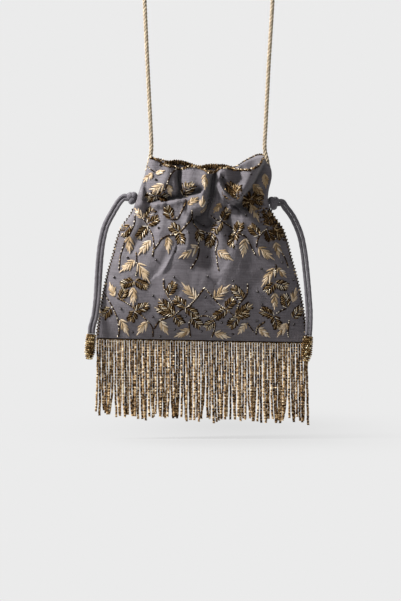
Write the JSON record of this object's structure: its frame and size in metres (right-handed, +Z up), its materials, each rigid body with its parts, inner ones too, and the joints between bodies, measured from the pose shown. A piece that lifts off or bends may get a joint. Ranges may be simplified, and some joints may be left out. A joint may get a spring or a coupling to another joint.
{
  "type": "drawstring potli bag",
  "caption": "Gathered drawstring pouch of embroidered cloth with a lining, a beaded rim and hem, a long bead fringe, two knotted drawstrings with beaded ends and a twisted sling cord.",
  "frame": {"origin": "the point on the underside of the sling's arch where a hook, rail or hand holds the hanging bag", "axes": "+X along the bag's width to the right seen from the embroidered front, -Y out of the embroidered front, +Z up"},
  "size_m": [0.2278, 0.0451, 0.5102],
  "materials": {
    "cloth": "slubbed silk, warm grey, embroidered in gold thread and beads",
    "lining": "smooth satin lining, grey",
    "string_cloth": "narrow stitched tube of the bag's cloth",
    "gold_cord": "twisted beige and gold cord",
    "antique_beads": "antique gold and dark bronze glass beads",
    "fringe_beads": "strung seed and cut beads, pale gold and bronze"
  },
  "bodies": {
    "root": {"front_panel": "cloth", "back_panel": "cloth", "lining": "lining", "left_casing_run": "string_cloth", "right_casing_run": "string_cloth", "left_knot": "string_cloth", "right_knot": "string_cloth", "left_outer_tail": "string_cloth", "left_inner_tail": "string_cloth", "right_outer_tail": "string_cloth", "right_inner_tail": "string_cloth", "left_bead_end": "antique_beads", "right_bead_end": "antique_beads", "left_seam_beading": "antique_beads", "right_seam_beading": "antique_beads", "front_rim_beading": "antique_beads", "back_rim_beading": "antique_beads", "sling_cord": "gold_cord", "fringe": "fringe_beads"}
  },
  "joints": []
}
